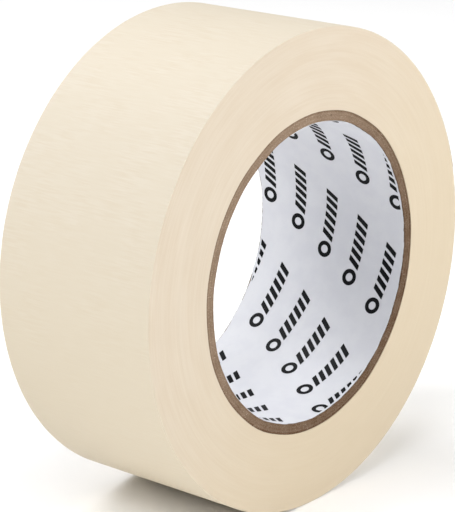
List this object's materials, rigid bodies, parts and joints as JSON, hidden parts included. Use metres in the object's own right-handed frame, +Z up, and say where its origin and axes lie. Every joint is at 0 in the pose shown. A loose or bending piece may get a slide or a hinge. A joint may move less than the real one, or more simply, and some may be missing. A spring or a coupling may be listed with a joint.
{
  "type": "masking tape roll",
  "caption": "Roll of crepe paper masking tape wound on a spiral paperboard core with a printed paper liner; the free end of the tape peels off the outer turn.",
  "frame": {"origin": "middle of the core's bore, on the roll's axis and halfway across the tape's width", "axes": "+Y along the roll's axis, from the front side face to the back one; +Z up with the roll standing on its rim; the free end of the tape is on the +X side, above the middle"},
  "size_m": [0.1221, 0.048, 0.1222],
  "materials": {
    "crepe_tape": "matt crepe paper, cream",
    "kraft_board": "raw grey-brown board, sawn edge",
    "liner_paper": "smooth white paper with dark printed marks"
  },
  "bodies": {
    "roll": {"core_liner": "liner_paper", "core_ply_1": "kraft_board", "core_ply_2": "kraft_board", "core_ply_3": "kraft_board", "core_ply_4": "kraft_board", "core_ply_5": "kraft_board", "wound_tape": "crepe_tape", "outer_turn": "crepe_tape"},
    "tape_end": {"free_end": "crepe_tape"}
  },
  "joints": [
    {"name": "free_end_peel", "type": "hinge", "parent": "roll", "child": "tape_end", "pos_m": [0.05025, 0, 0.03511], "axis": [0, -1, 0], "range_deg": [0, 150]}
  ]
}
